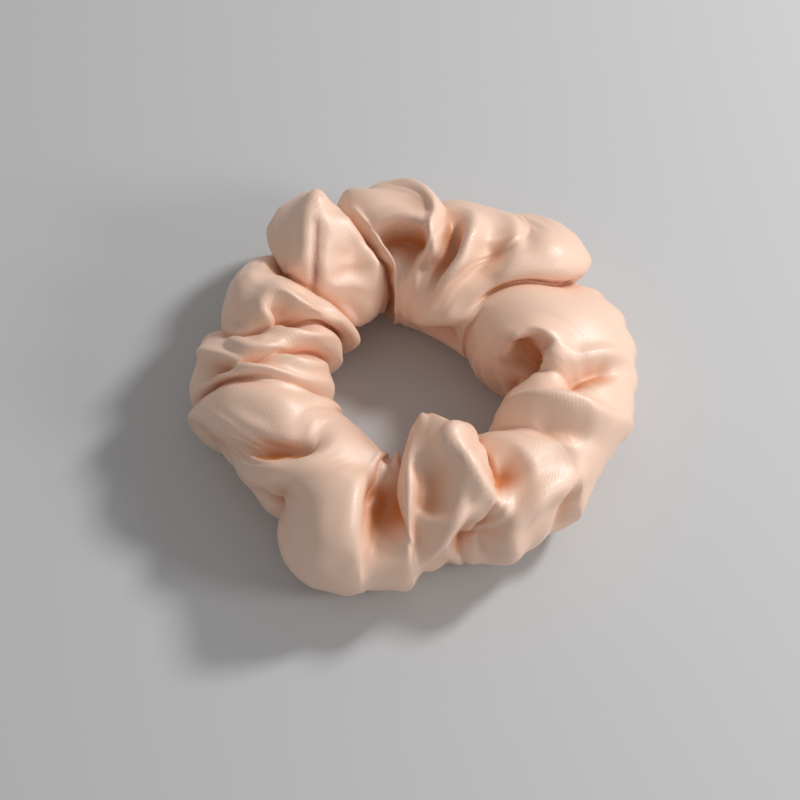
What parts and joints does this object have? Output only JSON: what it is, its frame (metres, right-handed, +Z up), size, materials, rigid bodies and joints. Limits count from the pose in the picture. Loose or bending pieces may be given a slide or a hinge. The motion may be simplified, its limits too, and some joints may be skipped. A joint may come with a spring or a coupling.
{
  "type": "scrunchie",
  "caption": "Hair scrunchie: a gathered satin sleeve in soft puffs over a ring of flat elastic, which stretches open to go round a ponytail.",
  "frame": {"origin": "on the table, on the axis of the ring, at the middle of the outline seen from above", "axes": "+Z up out of the table along the ring's axis; +Y the way the far side is pulled to open the ring; +X to the right"},
  "size_m": [0.1034, 0.1063, 0.0368],
  "materials": {
    "satin": "blush satin with a soft sheen",
    "elastic": "white braided elastic, matte",
    "thread": "polyester sewing thread, slightly darker than the satin"
  },
  "bodies": {
    "near_side": {"sleeve_near": "satin", "long_seam_near": "thread", "elastic_band": "elastic", "elastic_tack": "thread"},
    "far_side": {"sleeve_far": "satin", "long_seam_far": "thread", "closing_seam": "thread"}
  },
  "joints": [
    {"name": "stretch", "type": "slide", "parent": "near_side", "child": "far_side", "axis": [0, 1, 0], "range_m": [0, 0.07], "stiffness_N_per_m": 60, "deforming": ["elastic_band"]}
  ]
}
